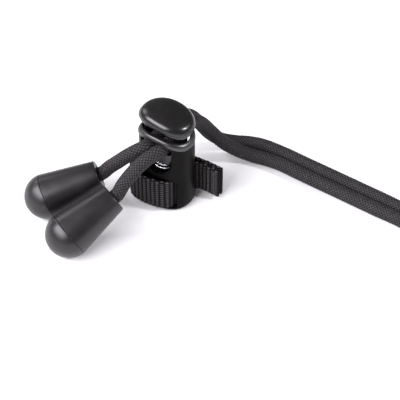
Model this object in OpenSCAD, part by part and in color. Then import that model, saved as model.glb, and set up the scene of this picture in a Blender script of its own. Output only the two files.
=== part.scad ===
// Sprung cord lock with a webbing loop, a drawcord and two snap-cap cord ends.
// Millimetres. Origin at the middle of the barrel's base, +Z up, long side along X.

/* [Barrel] */
// Length of the barrel, end to end
barrel_l = 16.2; // [13:0.1:24]
// Depth of the barrel, front to back
barrel_d = 11.8; // [9:0.1:18]
// Squareness of the barrel's oval outline, where 2 is an ellipse
barrel_e = 2.35; // [2:0.05:4]
// Height of the rim at the middle of a long side
rim_h = 26.2; // [24:0.1:36]
// Height of the rim band
rim_band = 1.75; // [1:0.05:5]
// How far the rim band stands out at the front and back
rim_out = 0.3; // [0:0.05:0.6]
// Radius of the saddle curve that the rim and the cap's lip follow
saddle_r = 16.7; // [12:0.1:60]
// Height of the floor under the spring
floor_h = 12.7; // [12.3:0.1:14]

/* [Cord passage] */
// Half width of the barrel's cord hole, and radius of its round bottom
hole_r = 5.0; // [3:0.1:5.5]
// Height of the round bottom's centre
hole_low = 17.9; // [17.5:0.1:20]
// Height of the cord hole's top
hole_top = 24.4; // [22:0.1:25]
// Corner radius at the cord hole's top
hole_corner = 2.2; // [0.5:0.1:3]

/* [Webbing slot] */
// Half width of the webbing slot
slot_half = 6.2; // [4:0.1:6.6]
// Thickness of the bar under the webbing slot
slot_bar = 1.2; // [0.8:0.1:3]
// Height of the webbing slot's top
slot_top = 11.8; // [8:0.1:12]
// Radius of the webbing slot's upper corners
slot_corner = 1.2; // [0.3:0.1:2]

/* [Plunger] */
// Length of the plunger's stem
stem_l = 12.4; // [10:0.1:13]
// Lean of the plunger towards the right end, in degrees
plunger_lean = 4; // [0:0.5:4]
// Depth of the plunger's stem
stem_d = 9.2; // [7:0.1:10]
// Height of the stem's lower end, plunger up
stem_low = 15.9; // [15:0.1:17]
// Sliding clearance at the stem's front and back
stem_gap = 0.15; // [0.08:0.01:0.2]
// Room at each end of the stem, where it can lean
stem_room = 0.95; // [0.8:0.05:1]
// Half width of the stem's cord hole
stem_hole_half = 4.6; // [4.5:0.1:5]
// Bottom of the stem's cord hole, plunger up
stem_hole_low = 19.9; // [19:0.1:20]
// Top of the stem's cord hole, plunger up
stem_hole_top = 27.6; // [26.2:0.1:28]
// Length of the collar under the cap
collar_l = 15.2; // [13:0.1:16]
// Depth of the collar
collar_d = 10.8; // [9.5:0.1:11.5]
// Height of the collar's lower edge at the middle of a long side
collar_h = 28.45; // [28.3:0.05:29]
// Height of the cap's lip, plunger up
lip_h = 29.3; // [29:0.1:31]
// Length of the cap
cap_l = 16.5; // [14:0.1:18]
// Depth of the cap
cap_d = 12.1; // [9:0.1:14]
// Height of the cap above its lip
cap_rise = 2.8; // [1.5:0.1:5]
// Share of the saddle curve that the cap follows
cap_saddle = 0.6; // [0:0.05:0.7]

/* [Spring] */
// Radius of the spring's lowest coil, at the wire's centre
spring_r_low = 4.1; // [2:0.1:4.2]
// Radius of the spring's top coil, at the wire's centre
spring_r_top = 2.7; // [1.5:0.1:4]
// Thickness of the spring wire
spring_wire = 0.6; // [0.3:0.05:0.8]
// Number of coils
spring_turns = 3; // [2:1:6]

/* [Webbing] */
// Width of the webbing
web_w = 10; // [6:0.5:10]
// Thickness of the webbing
web_t = 1.3; // [0.8:0.1:1.5]
// Height of the webbing's lower edge
web_z = 1.3; // [1.25:0.05:1.6]
// Thickness of the sewing thread
thread = 0.4; // [0.2:0.05:0.6]

/* [Drawcord and cord ends] */
// Thickness of the drawcord
cord_t = 4; // [2:0.1:4]
// Length of a cord end's cone and dome together
end_l = 22.3; // [16:0.1:30]
// Radius of a cord end's dome
end_r = 6.5; // [4:0.1:8]
// Radius of a cord end's narrow mouth
end_mouth_r = 4.1; // [3:0.1:5]
// Radius of the bore that the cord runs in
end_bore_r = 2.3; // [2.1:0.1:3]
// Length of that bore
end_bore_l = 8.7; // [4:0.1:10]
// Radius of the room for the knot
knot_room_r = 4.4; // [3:0.1:5]
// Radius of the knot
knot_r = 3.5; // [2.5:0.1:4]

/* [Hidden] */
$fn = 64;
outline_n = 72;
rim_low = rim_h - rim_band;
cone_l = end_l - end_r;
nib_out = 0.35;
lean_h = 26;
layer_gap = 0.1;

// Narrow mouth and direction of each cord end
end_1 = [-13, -14.2, 11.8];
end_1_dir = [-0.633, -0.699, -0.332];
end_2 = [-3.3, -20.1, 13.1];
end_2_dir = [-0.355, -0.838, -0.415];

// The drawcord's middle line, from the first cord end through the lock, round and back
cord_route = [
    [-18.7, -20.5, 8.8], [-15.5, -17, 10.5], [-13, -14.2, 11.8], [-12, -13.2, 12.6],
    [-10.7, -12.5, 14.4], [-8.4, -11.4, 16.9], [-6.2, -10.1, 19.2], [-4.2, -8.8, 21],
    [-2.7, -7.2, 22], [-2.1, -5.4, 22.3], [-2.1, 0, 22.3], [-2.1, 6, 22.3],
    [-2.1, 10, 21.6], [-1.8, 14, 18.6], [-1.2, 17.5, 13.6], [0, 20.6, 8.2],
    [2, 24, 4.2], [5.5, 27.8, 2.1], [11, 30.4, 2.1], [18, 31.2, 2.1],
    [28, 31.2, 2.1], [40, 31.2, 2.1], [52, 31.2, 2.1], [62, 31.2, 2.1],
    [70, 33.5, 2.1], [75.5, 39, 2.1], [81, 46, 2.1], [89, 50.5, 2.1],
    [99, 50.5, 2.1], [107.5, 47, 2.1], [114, 40, 2.1], [117, 29, 2.1],
    [114, 18, 2.1], [107.5, 11, 2.1], [99, 7.5, 2.1], [89, 7.5, 2.1],
    [81, 12, 2.1], [75.5, 19, 2.1], [70, 24.5, 2.1], [62, 26.8, 2.1],
    [52, 26.8, 2.1], [40, 26.8, 2.1], [28, 26.8, 2.1], [20, 26.8, 2.1],
    [13, 25.4, 2.1], [8.4, 22.8, 4.2], [5.4, 19.6, 8.2], [3.4, 16.6, 13.4],
    [2.4, 13.4, 18.4], [2.1, 10, 21.6], [2.1, 6, 22.3], [2.1, 0, 22.3],
    [2.1, -5.4, 22.3], [1.6, -7.8, 22.4], [0.4, -10.8, 21.4], [-1, -13.8, 19.2],
    [-2.2, -16.8, 16.4], [-2.8, -18.8, 13.9], [-3.3, -20.1, 13.1], [-6.5, -27.6, 9.3]
];

// The webbing's middle line in plan, from the tail through the slot, round the post and back
web_route = [
    [13.2, 6.3], [11.8, 6.3], [10.2, 6.3], [8.6, 6.3], [7.2, 6.15], [5.9, 5.5],
    [5.3, 4.2], [5.2, 2.4], [5, 0], [4.7, -2.5], [4.2, -4.6], [2.9, -6.2],
    [0.2, -7], [-4, -7.4], [-7.2, -6.7], [-9.2, -4.2], [-9.9, -1], [-9.8, 2],
    [-8.9, 4.6], [-6.4, 6.5], [-2.6, 6.9], [2, 7.1], [5.6, 7.4], [8.6, 7.7],
    [10.2, 7.7], [11.8, 7.7], [13.2, 7.7]
];

// Oval outline with corners between an ellipse's and a rectangle's
function oval(l, d, e) = [for (i = [0:outline_n - 1]) let (c = cos(360 * i / outline_n),
    s = sin(360 * i / outline_n)) [l / 2 * sign(c) * pow(abs(c), 2 / e), d / 2 * sign(s) * pow(abs(s), 2 / e)]];

// How far the saddle curve has dropped at x
function saddle(x) = saddle_r - sqrt(saddle_r * saddle_r - x * x);

// One level of a loft: length, depth, squareness, height, and 1 where it follows the saddle
function level(l, d, e, z, k) = [for (p = oval(l, d, e)) [p.x, p.y, z - k * saddle(p.x)]];

// Corner-rounding spline through a list of points
function spline(p, m) = [for (i = [0:len(p) - 2]) let (a = p[max(i - 1, 0)], b = p[i], c = p[i + 1],
    d = p[min(i + 2, len(p) - 1)]) for (j = [0:m - 1]) let (t = j / m)
    ((2 * b) + (c - a) * t + (2 * a - 5 * b + 4 * c - d) * t * t + (3 * b - a - 3 * c + d) * t * t * t) / 2,
    p[len(p) - 1]];

function unit(v) = v / norm(v);

// Direction of travel at point i of a line
function heading(p, i) = unit(p[min(i + 1, len(p) - 1)] - p[max(i - 1, 0)]);

// Side vectors carried along a line without twist
function sides(p, i = 0, s = [0, 0, 1], out = []) = i == len(p) ? out :
    let (h = heading(p, i), v = unit(s - (s * h) * h)) sides(p, i + 1, v, concat(out, [v]));

// Solid through a stack of levels
module loft(levels) {
    n = outline_n;
    last = (len(levels) - 1) * n;
    polyhedron(points = [for (v = levels) for (q = v) q], faces = concat(
        [for (k = [0:len(levels) - 2]) for (i = [0:n - 1]) let (j = (i + 1) % n)
            each [[k * n + i, (k + 1) * n + i, (k + 1) * n + j], [k * n + i, (k + 1) * n + j, k * n + j]]],
        [for (i = [1:n / 2 - 2]) each [[i, i + 1, n - i - 1], [i, n - i - 1, n - i]]],
        [[0, 1, n - 1], [n / 2 - 1, n / 2, n / 2 + 1]],
        [for (i = [1:n / 2 - 2]) each [[last + i, last + n - i - 1, last + i + 1],
            [last + i, last + n - i, last + n - i - 1]]],
        [[last, last + n - 1, last + 1], [last + n / 2 - 1, last + n / 2 + 1, last + n / 2]]));
}

// Round tube along a line, with m sides
module tube(p, r, m) {
    v = sides(p);
    n = len(p);
    polyhedron(points = [for (i = [0:n - 1]) let (w = cross(heading(p, i), v[i]))
            for (a = [0:m - 1]) p[i] + r * (cos(360 * a / m) * v[i] + sin(360 * a / m) * w)],
        faces = concat([[for (a = [m - 1:-1:0]) a]],
            [for (i = [0:n - 2]) for (a = [0:m - 1]) let (b = (a + 1) % m)
                each [[i * m + a, i * m + b, (i + 1) * m + b], [i * m + a, (i + 1) * m + b, (i + 1) * m + a]]],
            [[for (a = [0:m - 1]) (n - 1) * m + a]]));
}

// Flat strip of thickness t along a plan line
module strip(p, t) {
    n = len(p);
    side = [for (i = [0:n - 1]) let (h = heading(p, i)) [-h.y, h.x] * t / 2];
    polygon(concat([for (i = [0:n - 1]) p[i] + side[i]], [for (i = [n - 1:-1:0]) p[i] - side[i]]));
}

// Opening from x -w to w and height a to b, cut along Y, with its lower and upper corner radii
module opening(w, a, b, low, top) {
    rotate([90, 0, 0]) linear_extrude(height = 2 * barrel_d, center = true) {
        translate([-w, a + low]) square([2 * w, b - a - low - top]);
        translate([low - w, a]) square([2 * (w - low), b - a - top]);
        translate([top - w, a + low]) square([2 * (w - top), b - a - low]);
        for (x = [low - w, w - low]) translate([x, a + low]) circle(low);
        for (x = [top - w, w - top]) translate([x, b - top]) circle(top);
    }
}

// Puts something made along +Z on a line that starts at p and runs along d
module along(p, d) {
    translate(p) rotate([0, acos(d.z / norm(d)), atan2(d.y, d.x)]) children();
}

module barrel() {
    color([0.07, 0.07, 0.08]) difference() {
        loft([level(barrel_l - 4.4, barrel_d - 1, barrel_e, 0, 0),
            level(barrel_l - 2.6, barrel_d - 0.6, barrel_e, 0.08, -0.08),
            level(barrel_l - 1.1, barrel_d - 0.25, barrel_e, 0.24, -0.3),
            level(barrel_l, barrel_d, barrel_e, 0.6, -0.8),
            level(barrel_l, barrel_d, barrel_e, rim_low, 1),
            level(barrel_l + rim_out, barrel_d + 2 * rim_out, barrel_e, rim_low + 0.2, 1),
            level(barrel_l + rim_out, barrel_d + 2 * rim_out, barrel_e, rim_h - 0.7, 1),
            level(barrel_l + rim_out - 0.4, barrel_d + 2 * rim_out - 0.4, barrel_e, rim_h - 0.2, 1),
            level(barrel_l + rim_out - 1, barrel_d + 2 * rim_out - 1, barrel_e, rim_h, 1)]);
        // Guide for the stem
        translate([0, 0, floor_h]) linear_extrude(height = rim_h)
            polygon(oval(stem_l + 2 * stem_room, stem_d + 2 * stem_gap, barrel_e));
        // Grooves that hold the stem's nibs
        for (m = [0, 1]) mirror([m, 0, 0]) translate([stem_l / 2 - 1, -1.7, stem_low - 1.9])
            cube([1.05 + stem_room + nib_out, 3.4, 4.2]);
        opening(slot_half, slot_bar, slot_top, 0.4, slot_corner);
        // Cord hole with a round bottom
        opening(hole_r, hole_low - 1, hole_top, 0.5, hole_corner);
        translate([0, 0, hole_low]) rotate([90, 0, 0]) cylinder(r = hole_r, h = 2 * barrel_d, center = true);
    }
}

module plunger() {
    k = cap_saddle;
    color([0.03, 0.03, 0.035]) translate([0, 0, lean_h]) rotate([0, plunger_lean, 0]) translate([0, 0, -lean_h]) {
        difference() {
            loft([level(stem_l - 0.9, stem_d - 0.9, barrel_e, stem_low, 0),
                level(stem_l, stem_d, barrel_e, stem_low + 0.45, 0),
                level(stem_l, stem_d, barrel_e, collar_h, 1),
                level(collar_l - 0.3, collar_d - 0.3, barrel_e, collar_h, 1),
                level(collar_l, collar_d, barrel_e, collar_h + 0.15, 1),
                level(collar_l, collar_d, barrel_e, lip_h, k),
                level(cap_l - 0.6, cap_d - 0.6, 2.2, lip_h, k),
                level(cap_l - 0.1, cap_d - 0.1, 2.2, lip_h + 0.3, k),
                level(cap_l, cap_d, 2.2, lip_h + 0.6, k),
                level(cap_l - 0.3, cap_d - 0.3, 2.2, lip_h + 0.42 * cap_rise, k),
                level(cap_l - 1.2, cap_d - 1.2, 2.2, lip_h + 0.65 * cap_rise, k),
                level(cap_l - 2.5, cap_d - 2.5, 2.2, lip_h + 0.81 * cap_rise, k),
                level(cap_l - 5, cap_d - 4.6, 2.1, lip_h + 0.92 * cap_rise, k),
                level(cap_l - 8, cap_d - 6.6, 2, lip_h + 0.97 * cap_rise, k),
                level(cap_l - 11.5, cap_d - 9, 2, lip_h + cap_rise, k)]);
            opening(stem_hole_half, stem_hole_low, stem_hole_top, 1, 1);
        }
        for (m = [0, 1]) mirror([m, 0, 0]) translate([stem_l / 2, 1.5, stem_low + 0.6]) rotate([90, 0, 0])
            linear_extrude(height = 3) polygon([[-0.5, 0], [0, 0], [nib_out, 0.4], [nib_out, 1.1], [-0.5, 1.1]]);
    }
}

module spring() {
    w = spring_wire;
    low = floor_h + w / 2;
    top = stem_low - 0.25 - w / 2;
    steps = 20 * spring_turns;
    color([0.8, 0.8, 0.82]) tube([for (i = [0:steps]) let (t = i / steps,
        r = spring_r_low + (spring_r_top - spring_r_low) * t)
        [r * cos(18 * i), r * sin(18 * i), low + (top - low) * t]], w / 2, 8);
}

module web_loop() {
    color([0.09, 0.09, 0.1]) translate([0, 0, web_z]) linear_extrude(height = web_w)
        strip(spline(web_route, 4), web_t);
}

// Two upright rows of lockstitch through both layers of the tail
module web_stitching() {
    mid = web_route[1].y + (web_t + layer_gap) / 2;
    half = web_t + layer_gap / 2;
    color([0.13, 0.13, 0.14]) for (x = [9.9, 11.9], y = [mid - half, mid + half],
        z = [web_z + 0.8:1.75:web_z + web_w - 1.6]) translate([x, y, z]) cylinder(d = thread, h = 1.35, $fn = 16);
}

module drawcord() {
    color([0.1, 0.1, 0.11]) tube(cord_route, cord_t / 2, 10);
}

module cord_end_shell(p, d) {
    color([0.12, 0.12, 0.13]) along(p, d) rotate_extrude() polygon([
        [end_bore_r, 0.3], [end_bore_r + 0.3, 0], [end_mouth_r - 0.5, 0], [end_mouth_r, 0.5],
        [end_r - 0.05, cone_l - 0.3], [end_r - 0.2, cone_l - 0.1], [end_r - 1.1, cone_l - 0.1],
        [end_r - 1.1, cone_l - 1.9], [knot_room_r, cone_l - 1.9], [knot_room_r, end_bore_l],
        [end_bore_r, end_bore_l]]);
}

module cord_end_cap(p, d) {
    dome = [for (a = [0:10:80]) [end_r * cos(a), cone_l + end_r * sin(a)]];
    color([0.12, 0.12, 0.13]) along(p, d) rotate_extrude() polygon(concat(
        [[end_r - 0.2, cone_l - 0.1]], dome, [[0, cone_l + end_r], [0, cone_l + end_r - 1.3],
        [end_r - 3, cone_l + 3], [end_r - 2, cone_l + 0.6], [end_r - 2, cone_l - 1.8],
        [end_r - 1.1, cone_l - 1.8], [end_r - 1.1, cone_l - 0.1]]));
}

// Stopper knot tied in the cord, inside a cord end
module knot(p, d) {
    color([0.1, 0.1, 0.11]) along(p, d) rotate_extrude()
        polygon([[0, 0], [cord_t / 2, 0], [knot_r - 0.4, 0.8], [knot_r, 2], [knot_r, 3.4],
            [knot_r - 0.5, 4.6], [cord_t / 2 - 0.4, 5.4], [0, 5.6]]);
}

barrel();
plunger();
spring();
web_loop();
web_stitching();
drawcord();
cord_end_shell(end_1, end_1_dir);  // cord_end_1_shell
cord_end_cap(end_1, end_1_dir);  // cord_end_1_cap
cord_end_shell(end_2, end_2_dir);  // cord_end_2_shell
cord_end_cap(end_2, end_2_dir);  // cord_end_2_cap
knot(cord_route[0], end_1_dir);  // knot_1
knot(cord_route[len(cord_route) - 1], end_2_dir);  // knot_2
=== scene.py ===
import math

import bmesh
import bpy
import numpy as np
from mathutils import Matrix, Vector


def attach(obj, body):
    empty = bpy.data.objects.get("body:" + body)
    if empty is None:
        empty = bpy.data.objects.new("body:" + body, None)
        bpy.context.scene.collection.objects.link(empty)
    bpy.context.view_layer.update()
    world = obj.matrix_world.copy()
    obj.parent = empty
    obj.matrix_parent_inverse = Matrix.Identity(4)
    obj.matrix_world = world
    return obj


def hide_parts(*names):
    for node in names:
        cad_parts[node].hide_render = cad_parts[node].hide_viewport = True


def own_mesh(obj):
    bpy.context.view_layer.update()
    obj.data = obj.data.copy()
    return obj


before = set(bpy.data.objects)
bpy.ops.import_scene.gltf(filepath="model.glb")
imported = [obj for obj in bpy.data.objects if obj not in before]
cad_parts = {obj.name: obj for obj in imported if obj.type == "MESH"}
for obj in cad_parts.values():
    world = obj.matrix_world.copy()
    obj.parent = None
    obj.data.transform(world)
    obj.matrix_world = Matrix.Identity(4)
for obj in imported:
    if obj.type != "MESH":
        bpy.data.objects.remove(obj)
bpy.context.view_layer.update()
MM = 0.001
TURN = 2 * math.pi


# ---------------------------------------------------------------- camera
def make_camera():
    """Looks down at 45 degrees from the front right, a little off the object's middle."""
    azimuth, height, distance = math.radians(35), math.radians(45), 0.4
    aim_right, aim_down = 0.00914, 0.00177
    back = Vector((math.sin(azimuth) * math.cos(height), -math.cos(azimuth) * math.cos(height), math.sin(height)))
    right = Vector((math.cos(azimuth), math.sin(azimuth), 0))
    up = back.cross(right)
    data = bpy.data.cameras.new("camera")
    data.sensor_width, data.lens = 36, 126
    data.clip_start, data.clip_end = 0.01, 20
    cam = bpy.data.objects.new("camera", data)
    cam.location = back * distance + right * aim_right - up * aim_down
    cam.rotation_mode = "QUATERNION"
    cam.rotation_quaternion = back.to_track_quat("Z", "Y")
    bpy.context.collection.objects.link(cam)
    bpy.context.scene.camera = cam


make_camera()


# ---------------------------------------------------------------- mesh helpers
def smooth_faces(mesh):
    mesh.polygons.foreach_set("use_smooth", [True] * len(mesh.polygons))


def add_mesh(name, points, faces, corner_uv=None, scale=MM):
    """A smooth mesh object from points in mm, with one texture place per face corner if given."""
    mesh = bpy.data.meshes.new(name)
    mesh.from_pydata((np.asarray(points, float) * scale).tolist(), [], [list(map(int, f)) for f in faces])
    if corner_uv is not None:
        layer = mesh.uv_layers.new(name="UVMap")
        layer.data.foreach_set("uv", np.asarray(corner_uv, np.float32).ravel())
    smooth_faces(mesh)
    mesh.update()
    ob = bpy.data.objects.new(name, mesh)
    bpy.context.collection.objects.link(ob)
    return ob


def distance_along(p):
    """How far along the line each of its points is."""
    return np.concatenate([[0], np.cumsum(np.linalg.norm(np.diff(p, axis=0), axis=1))])


def directions(p):
    """The unit direction of the line at each of its points."""
    h = np.gradient(p, axis=0)
    h /= np.linalg.norm(h, axis=1)[:, None]
    return h


def smooth_line(points, step):
    """Points evenly spaced along a rounded line through the given points, and how far along each is."""
    p = np.asarray(points, float)
    ext = np.vstack([2 * p[0] - p[1], p, 2 * p[-1] - p[-2]])
    t = np.linspace(0, 1, 24, endpoint=False)[:, None]
    fine = []
    for a, b, c, d in zip(ext, ext[1:], ext[2:], ext[3:]):
        square, cube = 2 * a - 5 * b + 4 * c - d, 3 * b - a - 3 * c + d
        fine.append((2 * b + (c - a) * t + square * t**2 + cube * t**3) / 2)
    fine = np.vstack(fine + [p[-1:]])
    far = distance_along(fine)
    s = np.linspace(0, far[-1], max(int(round(far[-1] / step)), 2) + 1)
    return np.stack([np.interp(s, far, fine[:, k]) for k in range(fine.shape[1])], 1), s


def side_vectors(p, start):
    """Two side vectors at each point, carried along without twist."""
    h = directions(p)
    v = np.zeros_like(p)
    last = np.asarray(start, float)
    for i in range(len(p)):
        last = last - (last @ h[i]) * h[i]
        last /= np.linalg.norm(last)
        v[i] = last
    return v, np.cross(h, v)


def quad_corners(rows, around):
    """The row and the column of the four corners of every quad in a grid that closes on itself."""
    i, k = np.meshgrid(np.arange(rows - 1), np.arange(around), indexing="ij")
    return [(i, k), (i, k + 1), (i + 1, k + 1), (i + 1, k)]


def quads_of(corners, around):
    """Faces for those corners, where the column after the last is the first again."""
    return np.stack([row * around + column % around for row, column in corners], -1).reshape(-1, 4).tolist()


def corner_places(places):
    """Texture places in the order of the faces' corners."""
    return np.stack([np.stack(place, -1) for place in places], 2).reshape(-1, 2)


def tube(name, p, s, radius, around, u_count, v_len, start=(0, 0, 1)):
    """A closed tube along p; radius(theta, s) in mm. Its texture runs 0..u_count round and s / v_len along."""
    v, w = side_vectors(p, start)
    th = np.arange(around) / around * TURN
    out = np.cos(th)[None, :, None] * v[:, None, :] + np.sin(th)[None, :, None] * w[:, None, :]
    points = p[:, None, :] + out * radius(th[None, :], s[:, None])[..., None]
    last = (len(p) - 1) * around
    corners = quad_corners(len(p), around)
    faces = quads_of(corners, around)
    faces += [list(range(around - 1, -1, -1)), list(range(last, last + around))]
    uv = corner_places([(column / around * u_count, s[row] / v_len) for row, column in corners])
    uv = np.vstack([uv, np.zeros((2 * around, 2))])
    return add_mesh(name, points.reshape(-1, 3), faces, uv)


# ---------------------------------------------------------------- drawcord
CORD_T = 4.0
SADDLE_R = 16.7
YARNS, PICK, GROOVE = 12, 0.95, 0.2
CORD_STEP, CORD_AROUND, CORD_LOWEST = 0.17, 72, 2.06
cord_route = [
    (-18.7, -20.5, 8.8), (-15.5, -17, 10.5), (-13, -14.2, 11.8), (-12, -13.2, 12.6),
    (-10.7, -12.5, 14.4), (-8.4, -11.4, 16.9), (-6.2, -10.1, 19.2), (-4.2, -8.8, 21),
    (-2.7, -7.2, 22), (-2.1, -5.4, 22.3), (-2.1, 0, 22.3), (-2.1, 6, 22.3),
    (-2.1, 10, 21.6), (-1.8, 14, 18.6), (-1.2, 17.5, 13.6), (0, 20.6, 8.2),
    (2, 24, 4.2), (5.5, 27.8, 2.1), (11, 30.4, 2.1), (18, 31.2, 2.1),
    (28, 31.2, 2.1), (40, 31.2, 2.1), (52, 31.2, 2.1), (62, 31.2, 2.1),
    (70, 33.5, 2.1), (75.5, 39, 2.1), (81, 46, 2.1), (89, 50.5, 2.1),
    (99, 50.5, 2.1), (107.5, 47, 2.1), (114, 40, 2.1), (117, 29, 2.1),
    (114, 18, 2.1), (107.5, 11, 2.1), (99, 7.5, 2.1), (89, 7.5, 2.1),
    (81, 12, 2.1), (75.5, 19, 2.1), (70, 24.5, 2.1), (62, 26.8, 2.1),
    (52, 26.8, 2.1), (40, 26.8, 2.1), (28, 26.8, 2.1), (20, 26.8, 2.1),
    (13, 25.4, 2.1), (8.4, 22.8, 4.2), (5.4, 19.6, 8.2), (3.4, 16.6, 13.4),
    (2.4, 13.4, 18.4), (2.1, 10, 21.6), (2.1, 6, 22.3), (2.1, 0, 22.3),
    (2.1, -5.4, 22.3), (1.6, -7.8, 22.4), (0.4, -10.8, 21.4), (-1, -13.8, 19.2),
    (-2.2, -16.8, 16.4), (-2.8, -18.8, 13.9), (-3.3, -20.1, 13.1), (-6.5, -27.6, 9.3),
]


def crown(x):
    """The rounded top of a yarn bundle, from 0 to 1 across it."""
    return np.sqrt(np.clip(1 - 0.9 * (2 * x - 1) ** 2, 0, 1))


def braid_radius(theta, s):
    """A one-over-one braid of flat yarn bundles, half of them each way round."""
    u, v = theta / TURN * YARNS, s / PICK
    a, b = u + v, u - v
    fa, fb = a - np.floor(a), b - np.floor(b)
    up = (np.floor(a) + np.floor(b)) % 2 == 0
    across, along = np.where(up, fb, fa), np.where(up, fa, fb)
    return CORD_T / 2 - GROOVE * (1 - crown(across) * (0.55 + 0.45 * np.sin(np.pi * along)))


cord_line, cord_far = smooth_line(cord_route, CORD_STEP)
cord_line[:, 2] = np.maximum(cord_line[:, 2], CORD_LOWEST)
cord = tube("drawcord_braid", cord_line, cord_far, braid_radius, CORD_AROUND, YARNS, PICK)
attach(cord, "lock")
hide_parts("drawcord")


# ---------------------------------------------------------------- material helpers
class Nodes:
    """Short names for building a material's nodes, in a new material by name or in one already made."""

    def __init__(self, mat):
        if isinstance(mat, str):
            mat = bpy.data.materials.new(mat)
            mat.use_nodes = True
        self.mat, self.tree = mat, mat.node_tree
        self.shader = next(n for n in self.tree.nodes if n.type == "BSDF_PRINCIPLED")

    def new(self, kind, **sets):
        n = self.tree.nodes.new(kind)
        for k, v in sets.items():
            setattr(n, k, v)
        return n

    def link(self, a, b):
        self.tree.links.new(a, b)

    def feed(self, socket, value):
        if isinstance(value, bpy.types.NodeSocket):
            self.link(value, socket)
        else:
            socket.default_value = value

    def math(self, op, a, b=0.0):
        n = self.new("ShaderNodeMath", operation=op)
        self.feed(n.inputs[0], a)
        self.feed(n.inputs[1], b)
        return n.outputs[0]

    def add(self, a, b):
        return self.math("ADD", a, b)

    def less(self, a, b):
        return self.math("SUBTRACT", a, b)

    def times(self, a, b):
        return self.math("MULTIPLY", a, b)

    def place(self):
        return self.new("ShaderNodeTexCoord").outputs["Object"]

    def split(self, vector):
        n = self.new("ShaderNodeSeparateXYZ")
        self.link(vector, n.inputs[0])
        return n.outputs[0], n.outputs[1], n.outputs[2]

    def texture_place(self):
        """The two numbers that the mesh's own texture places give."""
        return self.split(self.new("ShaderNodeUVMap", uv_map="UVMap").outputs["UV"])[:2]

    def vector(self, *parts):
        n = self.new("ShaderNodeCombineXYZ")
        for sock, part in zip(n.inputs, parts):
            self.link(part, sock)
        return n.outputs[0]

    def noise(self, vector, scale, detail=3.0, rough=0.5):
        n = self.new("ShaderNodeTexNoise")
        self.link(vector, n.inputs["Vector"])
        n.inputs["Scale"].default_value, n.inputs["Detail"].default_value = scale, detail
        n.inputs["Roughness"].default_value = rough
        return n.outputs["Fac"]

    def ramp(self, value, low, high, a, b):
        """Goes from a to b as value goes from low to high; a and b are numbers."""
        n = self.new("ShaderNodeMapRange")
        self.feed(n.inputs["Value"], value)
        for key, v in (("From Min", low), ("From Max", high), ("To Min", a), ("To Max", b)):
            n.inputs[key].default_value = v
        return n.outputs["Result"]

    def mix(self, fac, a, b):
        """Goes from colour a to colour b as fac goes from 0 to 1."""
        n = self.new("ShaderNodeMix", data_type="RGBA")
        self.feed(n.inputs[0], fac)
        n.inputs[6].default_value, n.inputs[7].default_value = (*a, 1), (*b, 1)
        return n.outputs[2]

    def bump(self, height, strength, distance):
        n = self.new("ShaderNodeBump")
        n.inputs["Strength"].default_value, n.inputs["Distance"].default_value = strength, distance
        self.link(height, n.inputs["Height"])
        return n.outputs["Normal"]

    def set(self, **values):
        for key, v in values.items():
            self.feed(self.shader.inputs[key.replace("_", " ")], v)
        return self.mat


def plastic(name, dark, light, rough, spread, grain, depth, scratch=0.0):
    """Moulded black plastic: faint tone change, uneven gloss, fine surface grain and rubbed edges."""
    n = Nodes(name)
    at = n.place()
    cloud = n.noise(at, 160, 4)
    edge = n.ramp(n.new("ShaderNodeNewGeometry").outputs["Pointiness"], 0.53, 0.62, 0.0, 1.0)
    tone = n.add(n.ramp(cloud, 0.35, 0.65, 0.0, 0.6), n.times(edge, 0.4))
    gloss = n.add(n.ramp(cloud, 0.3, 0.7, rough - spread, rough + spread), n.times(edge, scratch))
    normal = n.bump(n.noise(at, grain, 2), 0.5, depth)
    return n.set(Base_Color=n.mix(tone, dark, light), Roughness=gloss, Normal=normal)


def yarn_coords(n):
    """Across a braid yarn, along it, and a number for it, from the tube's texture places."""
    u, v = n.texture_place()
    a, b = n.add(u, v), n.less(u, v)
    fa, fb, la, lb = n.math("FRACT", a), n.math("FRACT", b), n.math("FLOOR", a), n.math("FLOOR", b)
    odd = n.math("PINGPONG", n.add(la, lb), 1.0)
    even = n.less(1.0, odd)
    across = n.add(n.times(odd, fa), n.times(even, fb))
    along = n.add(n.times(odd, fb), n.times(even, fa))
    return across, along, n.add(n.times(la, 7.13), n.times(lb, 3.71))


def braid_material():
    """Dark yarns with a painted highlight on the crown of each: pale flecks where the light catches single
    fibres.
    """
    fibre_lines = 37.7
    n = Nodes("braided_polyester")
    across, along, key = yarn_coords(n)
    fibre = n.noise(n.vector(n.times(across, 6.0), n.times(along, 1.2), key), 1.6, 3, 0.6)
    lines = n.times(n.add(n.math("SINE", n.times(across, fibre_lines)), 1.0), 0.5)
    valley = n.math("POWER", n.math("ABSOLUTE", n.less(n.times(across, 2.0), 1.0)), 3.0)
    bulge = n.math("SINE", n.times(along, math.pi))
    # painted highlight: pale flecks on each yarn's crown, strongest mid-float and none in the valleys between
    # yarns
    painted_sheen = n.times(n.ramp(fibre, 0.42, 0.6, 0.1, 1.0), n.less(1.0, valley))
    painted_sheen = n.times(painted_sheen, n.math("POWER", bulge, 1.5))
    height = n.add(n.times(lines, 0.5), n.times(fibre, 0.5))
    return n.set(
        Base_Color=n.mix(painted_sheen, (0.003, 0.0026, 0.0028), (0.1, 0.092, 0.097)),
        Roughness=n.ramp(fibre, 0.3, 0.7, 0.5, 0.75),
        Normal=n.bump(height, 0.6, 0.00006), Specular_IOR_Level=0.15)


RIB, WARP = 1.3, 0.75


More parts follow.
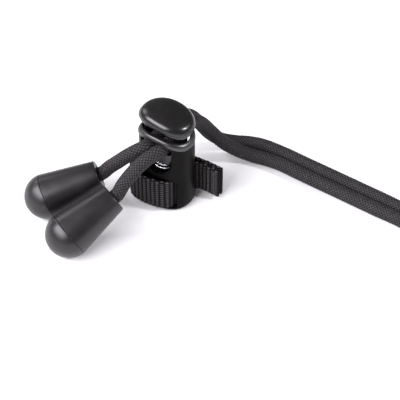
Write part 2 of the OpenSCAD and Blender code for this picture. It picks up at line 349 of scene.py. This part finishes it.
def webbing_material():
    """Upright ribs of dark yarn, with the same picks as the mesh and a painted highlight of pale flecks on their
    crowns.
    """
    n = Nodes("ribbed_webbing")
    s, z = n.texture_place()
    column = n.math("DIVIDE", s, RIB)
    rib = n.math("ABSOLUTE", n.math("SINE", n.times(column, math.pi)))
    step = n.add(n.math("DIVIDE", z, WARP), n.times(n.math("FLOOR", column), 0.5))
    pick = n.ramp(n.math("COSINE", n.times(step, TURN)), -0.5, 0.9, 0.0, 1.0)
    fibre = n.noise(n.vector(n.times(s, 4.0), n.times(z, 2.5)), 1.6, 3, 0.6)
    # painted highlight: pale flecks on the crowns of the ribs at each pick, broken up by fibre noise
    painted_sheen = n.times(n.times(n.math("POWER", rib, 1.6), pick), n.ramp(fibre, 0.35, 0.6, 0.25, 1.0))
    height = n.add(n.times(n.times(rib, pick), 0.6), n.times(fibre, 0.6))
    return n.set(
        Base_Color=n.mix(painted_sheen, (0.002, 0.0017, 0.0018), (0.13, 0.12, 0.126)),
        Roughness=n.ramp(fibre, 0.3, 0.7, 0.6, 0.85),
        Normal=n.bump(height, 0.7, 0.00008), Specular_IOR_Level=0.08)


def thread_material():
    """Two plies that wind round the stitch."""
    n = Nodes("sewing_thread")
    u, v = n.texture_place()
    ply = n.math("SINE", n.times(n.add(u, v), TURN))
    fuzz = n.noise(n.place(), 9000, 2)
    return n.set(
        Base_Color=n.mix(n.ramp(ply, -1, 1, 0, 1), (0.012, 0.012, 0.013), (0.05, 0.05, 0.052)),
        Roughness=n.ramp(fuzz, 0.3, 0.7, 0.45, 0.65), Normal=n.bump(fuzz, 0.4, 0.00002))


def steel_material():
    """Bright wire with faint lines along it from drawing."""
    n = Nodes("spring_steel")
    u, v = n.texture_place()
    drawn = n.noise(n.vector(n.times(u, 14.0), n.times(v, 0.6)), 2.0, 3)
    return n.set(
        Base_Color=n.mix(drawn, (0.42, 0.42, 0.45), (0.7, 0.7, 0.73)), Metallic=1.0,
        Roughness=n.ramp(drawn, 0.3, 0.7, 0.14, 0.3), Normal=n.bump(drawn, 0.25, 0.00001))


def barrel_material():
    """Satin moulding, glossier on the rim, which fingers polish."""
    rim_from, rim_to, body_shine, rim_shine = 0.0243, 0.0246, 0.05, 0.8
    mat = plastic("satin_black_plastic", (0.0028, 0.0024, 0.0026), (0.0055, 0.0047, 0.005),
                  rough=0.34, spread=0.04, grain=5200, depth=0.000012)
    n = Nodes(mat)
    x, _, z = n.split(n.place())
    drop = n.times(n.times(x, x), 0.5 / (SADDLE_R * MM))
    return n.set(Specular_IOR_Level=n.ramp(n.add(z, drop), rim_from, rim_to, body_shine, rim_shine))


mat_gloss = plastic("gloss_black_plastic", (0.004, 0.0035, 0.0038), (0.008, 0.0072, 0.0078),
                    rough=0.25, spread=0.03, grain=1500, depth=0.0000015, scratch=0.06)
mat_satin = barrel_material()
mat_soft = plastic("soft_touch_rubber", (0.005, 0.0042, 0.0047), (0.01, 0.0085, 0.0095),
                   rough=0.37, spread=0.04, grain=6500, depth=0.000024)
mat_braid, mat_web = braid_material(), webbing_material()
mat_thread, mat_steel = thread_material(), steel_material()
cord.data.materials.append(mat_braid)


# ---------------------------------------------------------------- solids
OVAL_POINTS = 192


def oval(length, depth, square):
    t = np.arange(OVAL_POINTS) / OVAL_POINTS * TURN
    c, s = np.cos(t), np.sin(t)
    x = length / 2 * np.sign(c) * np.abs(c) ** (2 / square)
    y = depth / 2 * np.sign(s) * np.abs(s) ** (2 / square)
    return np.stack([x, y], 1)


def loft(name, levels):
    """A closed solid through levels of (length, depth, squareness, height, how far it follows the saddle)."""
    n = OVAL_POINTS
    points, faces = [], []
    for length, depth, square, z, follow in levels:
        o = oval(length, depth, square)
        sag = SADDLE_R - np.sqrt(SADDLE_R**2 - o[:, 0] ** 2)
        points.append(np.column_stack([o, z - follow * sag]))
    for k in range(len(levels) - 1):
        low, high = k * n, (k + 1) * n
        faces += [[low + i, low + (i + 1) % n, high + (i + 1) % n, high + i] for i in range(n)]
    lid = [[0, 1, n - 1]] + [[i, i + 1, n - i - 1, n - i] for i in range(1, n // 2 - 1)]
    lid.append([n // 2 - 1, n // 2, n // 2 + 1])
    last = (len(levels) - 1) * n
    faces += [f[::-1] for f in lid] + [[last + q for q in f] for f in lid]
    return add_mesh(name, np.vstack(points), faces, scale=1.0)


def prism(name, outline, y0, y1):
    """A solid from an outline in X and Z, along Y."""
    n = len(outline)
    points = [(x, y, z) for y in (y0, y1) for x, z in outline]
    faces = [list(range(n)), list(range(2 * n - 1, n - 1, -1))]
    faces += [[i, i + n, (i + 1) % n + n, (i + 1) % n] for i in range(n)]
    return add_mesh(name, points, faces, scale=1.0)


def opening(name, half, low, high, r_low, r_high, steps=10):
    """A cutter right through the lock, from x -half to half and height low to high, with rounded corners."""
    reach = 12
    corners = [(half - r_low, low + r_low, r_low, -90), (half - r_high, high - r_high, r_high, 0),
               (r_high - half, high - r_high, r_high, 90), (r_low - half, low + r_low, r_low, 180)]
    outline = []
    for x, z, r, first in corners:
        turns = [math.radians(first + 90 * i / steps) for i in range(steps + 1)]
        outline += [(x + r * math.cos(a), z + r * math.sin(a)) for a in turns]
    return prism(name, outline, -reach, reach)


def freeze(ob):
    """Applies what the object's modifiers make to its mesh."""
    got = bpy.data.meshes.new_from_object(ob.evaluated_get(bpy.context.evaluated_depsgraph_get()))
    ob.modifiers.clear()
    ob.data = got


def cut(ob, cutters):
    for c in cutters:
        m = ob.modifiers.new("cut", "BOOLEAN")
        m.operation, m.solver, m.object = "DIFFERENCE", "EXACT", c
        freeze(ob)
        bpy.data.objects.remove(c, do_unlink=True)


def soften(ob, rounds, voxel=0.13):
    """Turns a solid into an even mesh in millimetres, with slightly rounded edges."""
    m = ob.modifiers.new("remesh", "REMESH")
    m.mode, m.voxel_size = "VOXEL", voxel
    m = ob.modifiers.new("round", "SMOOTH")
    m.factor, m.iterations = 0.5, rounds
    freeze(ob)
    smooth_faces(ob.data)


def join(ob, others):
    bm = bmesh.new()
    for o in [ob] + others:
        bm.from_mesh(o.data)
    bm.to_mesh(ob.data)
    bm.free()
    for o in others:
        bpy.data.objects.remove(o, do_unlink=True)


def finish_piece(ob, body, node, material, scale=MM):
    """Brings a piece to metres and tells the frame what it is."""
    ob.data.transform(Matrix.Scale(scale, 4))
    ob.data.materials.clear()
    ob.data.materials.append(material)
    ob.data.update()
    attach(ob, body)
    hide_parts(node)


def quarter(steps):
    """For each step of a quarter turn, one minus its sine and one minus its cosine."""
    turns = [math.pi / 2 * i / steps for i in range(steps + 1)]
    return [(1 - math.sin(a), 1 - math.cos(a)) for a in turns]


# Barrel, in mm as in the CAD
L, D, E = 16.2, 11.8, 2.35
FOOT_L, FOOT_H, FOOT_LIFT = 4.4, 0.6, 0.8
RIM, RIM_LOW, RIM_TOP, RIM_ROUND = 0.3, 24.35, 25.4, 0.8
RIM_L, RIM_D = L + RIM, D + 2 * RIM
levels = [(L - FOOT_L * inset, D - inset, E, FOOT_H * rise, -FOOT_LIFT * rise) for inset, rise in quarter(8)]
levels += [(L, D, E, 6, 0), (L, D, E, 14, 0), (L, D, E, RIM_LOW, 1)]
levels += [(L + RIM / 2, D + RIM, E, 24.5, 1), (RIM_L, RIM_D, E, 24.75, 1)]
for i in range(7):
    a = math.pi / 2 * (i / 6)
    inset = 2 * RIM_ROUND * (1 - math.cos(a))
    levels.append((RIM_L - inset, RIM_D - inset, E, RIM_TOP + RIM_ROUND * math.sin(a), 1))
barrel = loft("barrel_shell", levels)
guide = loft("guide", [(14.3, 9.5, E, 12.7, 0), (14.3, 9.5, E, 30, 0)])
groove_right = prism("groove", [(5.4, 14), (7.55, 14), (7.55, 18.2), (5.4, 18.2)], -1.7, 1.7)
groove_left = prism("groove", [(-5.4, 18.2), (-7.55, 18.2), (-7.55, 14), (-5.4, 14)], -1.7, 1.7)
slot_hole = opening("slot", 6.2, 1.2, 11.8, 0.4, 1.2)
cord_hole = opening("hole", 5.0, 12.9, 24.4, 4.999, 2.2, 14)
cut(barrel, [guide, groove_right, groove_left, slot_hole, cord_hole])
soften(barrel, 5)
finish_piece(barrel, "lock", "barrel", mat_satin)

# Plunger: stem with its cord hole, collar and cap
SADDLE = 0.6
CAP_L, CAP_D, CAP_E, CAP_LOW = 16.5, 12.1, 2.2, 29.3
LEAN, LEAN_AT = 4, 26
stem = loft("stem", [(11.5, 8.3, E, 15.9, 0), (12, 8.8, E, 16.05, 0), (12.4, 9.2, E, 16.35, 0),
                     (12.4, 9.2, E, 22, 0), (12.4, 9.2, E, 29.6, SADDLE)])
cut(stem, [opening("stem_hole", 4.6, 19.9, 27.6, 1, 1)])
soften(stem, 4)
collar = loft("collar", [(14.8, 10.4, E, 28.45, 1), (15.1, 10.7, E, 28.52, 1), (15.2, 10.8, E, 28.65, 1),
                         (15.2, 10.8, E, 29.5, SADDLE)])
levels = [(12.6, 9.4, E, 29.32, SADDLE), (CAP_L - 1.4, CAP_D - 1.4, CAP_E, CAP_LOW, SADDLE)]
levels += [(CAP_L - inset, CAP_D - inset, CAP_E, CAP_LOW + 0.5 * rise, SADDLE) for inset, rise in quarter(6)[1:]]
# The cap's top as (in from each end, in from each side, height), from its edge to its crown
brow = [(0, 0, 29.8), (0, 0, 29.95), (0.15, 0.15, 30.48), (0.6, 0.6, 31.12), (1.25, 1.25, 31.57),
        (2.5, 2.3, 31.88), (4, 3.3, 32.02), (5.75, 4.5, 32.1), (7.9, 5.8, 32.13)]
for in_l, in_d, z in smooth_line(brow, 0.25)[0][1:]:
    levels.append((CAP_L - 2 * in_l, CAP_D - 2 * in_d, CAP_E, z, SADDLE))
cap = loft("press_cap", levels)
join(cap, [stem, collar])
lean = Matrix.Translation((0, 0, LEAN_AT)) @ Matrix.Rotation(math.radians(LEAN), 4, "Y")
cap.data.transform(lean @ Matrix.Translation((0, 0, -LEAN_AT)))
finish_piece(cap, "press_cap", "plunger", mat_gloss)

# Spring, wide at its foot
SPRING_LOW_R, SPRING_TOP_R, WIRE_R, COILS = 4.1, 2.7, 0.3, 3
SPRING_FOOT, SPRING_RISE, SPRING_STEPS = 13.0, 2.35, 320
t = np.linspace(0, 1, SPRING_STEPS + 1)
radius = SPRING_LOW_R + (SPRING_TOP_R - SPRING_LOW_R) * t
turn = TURN * COILS * t
helix = np.stack([radius * np.cos(turn), radius * np.sin(turn), SPRING_FOOT + SPRING_RISE * t], 1)
coil = tube("spring_coil", helix, distance_along(helix), lambda th, s: WIRE_R + 0 * th * s, 16, 1, 2.0)
finish_piece(coil, "lock", "spring", mat_steel, 1.0)
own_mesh(coil)

# Webbing, as it lies seen from above
WEB_W, WEB_LOW, SELVEDGE = 10, 1.3, 0.5
web_route = [
    (13.2, 6.3), (11.8, 6.3), (10.2, 6.3), (8.6, 6.3), (7.2, 6.15), (5.9, 5.5),
    (5.3, 4.2), (5.2, 2.4), (5, 0), (4.7, -2.5), (4.2, -4.6), (2.9, -6.2),
    (0.2, -7), (-4, -7.4), (-7.2, -6.7), (-9.2, -4.2), (-9.9, -1), (-9.8, 2),
    (-8.9, 4.6), (-6.4, 6.5), (-2.6, 6.9), (2, 7.1), (5.6, 7.4), (8.6, 7.7),
    (10.2, 7.7), (11.8, 7.7), (13.2, 7.7),
]


def web_thickness(s, zs):
    """Half the webbing's thickness: upright ribs with picks across them, thinner at both selvedges."""
    edge = np.clip((np.abs(zs - WEB_W / 2) - (WEB_W / 2 - SELVEDGE)) / SELVEDGE, 0, 1)
    slim = np.sqrt(np.clip(1 - edge**2 * 0.85, 0, 1))
    rib = np.abs(np.sin(np.pi * s / RIB))[:, None] ** 0.7
    step = zs[None, :] / WARP + 0.5 * np.floor(s / RIB)[:, None]
    warp = (0.5 + 0.5 * np.cos(TURN * step)) ** 0.8
    return (0.38 + 0.17 * rib + 0.1 * rib * warp) * slim[None, :]


def webbing():
    line, s = smooth_line(web_route, 0.11)
    h = directions(line)
    side = np.column_stack([-h[:, 1], h[:, 0]])
    zs = np.concatenate([np.linspace(0, 0.4, 5)[:-1], np.linspace(0.4, 9.6, 93), np.linspace(9.6, 10, 5)[1:]])
    thick = web_thickness(s, zs)
    n, m = len(s), len(zs)
    around = 2 * m
    walls = []
    for way in (1, -1):
        x, y = (line[:, None, k] + way * side[:, None, k] * thick for k in (0, 1))
        walls.append(np.dstack([x, y, np.tile(zs, (n, 1)) + WEB_LOW]))
    ring = np.concatenate([walls[0], walls[1][:, ::-1]], 1)
    heights = np.concatenate([zs, zs[::-1]])
    first, up, far, on = quad_corners(n, around)
    corners = [first, on, far, up]
    uv = corner_places([(s[row], heights[column % around]) for row, column in corners])
    ends = [[q, q + 1, around - 2 - q, around - 1 - q] for q in range(m - 1)]
    faces = quads_of(corners, around) + ends + [[(n - 1) * around + q for q in f[::-1]] for f in ends]
    uv = np.vstack([uv, np.zeros((8 * (m - 1), 2))])
    return add_mesh("webbing_loop", ring.reshape(-1, 3), faces, uv)


finish_piece(webbing(), "webbing", "web_loop", mat_web, 1.0)

# Lockstitch on the webbing's tail: two rows, seen on both faces
STITCH_L, STITCH_GAP, THREAD_R, PLY_L = 1.55, 1.75, 0.19, 0.7


def thread_radius(theta, s):
    """Two plies twisted together."""
    return THREAD_R * (1 + 0.16 * np.cos(2 * theta - TURN * s / PLY_L))


def stitches():
    made = []
    t = np.linspace(0, 1, 15)
    dip = -0.42 * np.abs(2 * t - 1) ** 4
    places = [(x, y, out, j) for x in (9.9, 11.9) for y, out in ((5.65, -1), (8.35, 1)) for j in range(5)]
    for x, y, out, j in places:
        low = 2.1 + STITCH_GAP * j - 0.1
        p = np.stack([x + 0.12 * (t - 0.5), y + out * (0.02 + dip), low + STITCH_L * t], 1)
        made.append(tube("stitch", p, t * STITCH_L, thread_radius, 10, 2, PLY_L, (1, 0, 0)))
    join(made[0], made[1:])
    made[0].name = "tail_stitching"
    return made[0]


finish_piece(stitches(), "webbing", "web_stitching", mat_thread, 1.0)


# Cord ends
def lathe(name, profile, around=128):
    """A solid of revolution about Z from a closed outline of (radius, height)."""
    points, faces = [], []
    n = len(profile)
    for k in range(around):
        c, s = math.cos(TURN * k / around), math.sin(TURN * k / around)
        points += [(r * c, r * s, z) for r, z in profile]
        a, b = k * n, (k + 1) % around * n
        faces += [[a + i, b + i, b + (i + 1) % n, a + (i + 1) % n] for i in range(n)]
    ob = add_mesh(name, points, faces, scale=1.0)
    bm = bmesh.new()
    bm.from_mesh(ob.data)
    bmesh.ops.remove_doubles(bm, verts=bm.verts, dist=1e-5)
    bmesh.ops.recalc_face_normals(bm, faces=bm.faces)
    bm.to_mesh(ob.data)
    bm.free()
    smooth_faces(ob.data)
    return ob


def round_corners(profile, radii, steps):
    """Rounds each corner of a closed outline by its own radius."""
    out, n = [], len(profile)
    for i, (p, r) in enumerate(zip(profile, radii)):
        p, a, b = Vector(p), Vector(profile[i - 1]), Vector(profile[(i + 1) % n])
        if r <= 0:
            out.append(tuple(p))
            continue
        u, v = (a - p).normalized(), (b - p).normalized()
        half = u.angle(v) / 2
        reach = min(r / math.tan(half), (a - p).length * 0.49, (b - p).length * 0.49)
        for j in range(steps + 1):
            t = j / steps
            q = (p + u * reach) * (1 - t) ** 2 + p * 2 * t * (1 - t) + (p + v * reach) * t**2
            out.append(tuple(q))
    return out


CONE, R, MOUTH_R = 15.8, 6.5, 4.1
BORE_R, BORE_L, ROOM_R = 2.3, 8.7, 4.4


def cone_outline():
    """The cone: its wall, the seat that the dome snaps into, the knot's room and the cord's bore."""
    seat_r, seat_z = R - 1.1, CONE - 1.9
    wall = [(MOUTH_R + (R - MOUTH_R) * t, 0.4 + (CONE - 0.4) * t) for t in np.linspace(0, 1, 30)]
    line = [(BORE_R, 0.0), (4.05, 0.0), wall[8], wall[16], (R - 0.03, CONE - 0.12), (seat_r, CONE - 0.1),
            (seat_r, seat_z), (ROOM_R, seat_z), (ROOM_R, BORE_L), (BORE_R, BORE_L)]
    return round_corners(line, [0.35, 0.5, 0, 0, 0.09, 0, 0.1, 0.1, 0.2, 0.2], 6)


def dome_outline():
    """The snap cap: a half ball with a skirt that goes into the cone."""
    skirt_r, skirt_z, lip_z = R - 1.15, CONE - 1.8, CONE - 0.09
    lip = round_corners([(R - 0.14, lip_z), (R - 0.03, CONE - 0.02), (R, CONE + 0.1)], [0, 0.08, 0], 4)
    ball = [(R * math.cos(a), CONE + R * math.sin(a)) for a in np.linspace(0, math.pi / 2, 40)[2:-1]]
    inside = [(0, CONE + R), (0, CONE + R - 1.3), (R - 3, CONE + 3), (R - 2, CONE + 0.6), (R - 2, skirt_z)]
    return lip + ball + inside + [(skirt_r, skirt_z), (skirt_r, lip_z)]


def cord_end(k, at, along):
    """Cord end k, with its mouth at a point and its dome in the given direction."""
    d = Vector(along).normalized()
    turn_z, turn_y = Matrix.Rotation(math.atan2(d.y, d.x), 4, "Z"), Matrix.Rotation(math.acos(d.z), 4, "Y")
    place = Matrix.Translation(at) @ turn_z @ turn_y
    for name, line, node in (("shell", cone_outline(), "shell"), ("dome", dome_outline(), "cap")):
        ob = lathe(f"cord_end_{k}_{name}", line)
        ob.data.transform(place)
        finish_piece(ob, f"cord_end_{k}", f"cord_end_{k}_{node}", mat_soft)


cord_end(1, (-13, -14.2, 11.8), (-0.633, -0.699, -0.332))
cord_end(2, (-3.3, -20.1, 13.1), (-0.355, -0.838, -0.415))

for name in ("knot_1", "knot_2"):
    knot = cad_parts[name]
    knot.data.materials.clear()
    knot.data.materials.append(plastic("knot_yarn_" + name[-1], (0.01, 0.01, 0.011), (0.05, 0.05, 0.052),
                                       rough=0.7, spread=0.05, grain=2500, depth=0.00008))

# ---------------------------------------------------------------- floor and light
LIGHT_COLOUR, WORLD_STRENGTH = (0.97, 0.945, 1.0), 0.25
floor = add_mesh("floor", [(-3, -3, 0), (3, -3, 0), (3, 3, 0), (-3, 3, 0)], [[0, 1, 2, 3]], scale=1.0)
n = Nodes("pale_floor")
pale = n.mix(n.noise(n.place(), 3, 2), (0.8, 0.8, 0.8), (0.86, 0.86, 0.86))
floor.data.materials.append(n.set(Base_Color=pale, Roughness=0.9))


def lamp(name, at, look, size, power):
    """A soft rectangular lamp at a place, facing the point it looks at."""
    data = bpy.data.lights.new(name, "AREA")
    data.shape, data.size, data.size_y, data.energy = "RECTANGLE", size[0], size[1], power
    data.color = LIGHT_COLOUR
    ob = bpy.data.objects.new(name, data)
    ob.location = at
    ob.rotation_mode = "QUATERNION"
    ob.rotation_quaternion = (Vector(at) - Vector(look)).to_track_quat("Z", "Y")
    bpy.context.collection.objects.link(ob)


lamp("key", (-0.2, -0.42, 0.46), (0, 0, 0.02), (0.8, 0.34), 10.6)
lamp("spark", (0.42, 0.17, 0.33), (0, 0, 0.03), (0.08, 0.08), 2.0)
lamp("side", (-0.5, 0.1, 0.3), (0, 0, 0.02), (0.2, 0.2), 0.5)
bpy.context.scene.view_settings.view_transform = "Standard"
world = bpy.data.worlds.new("world")
bpy.context.scene.world = world
world.use_nodes = True
world.node_tree.nodes["Background"].inputs[0].default_value = (1, 1, 1, 1)
world.node_tree.nodes["Background"].inputs[1].default_value = WORLD_STRENGTH
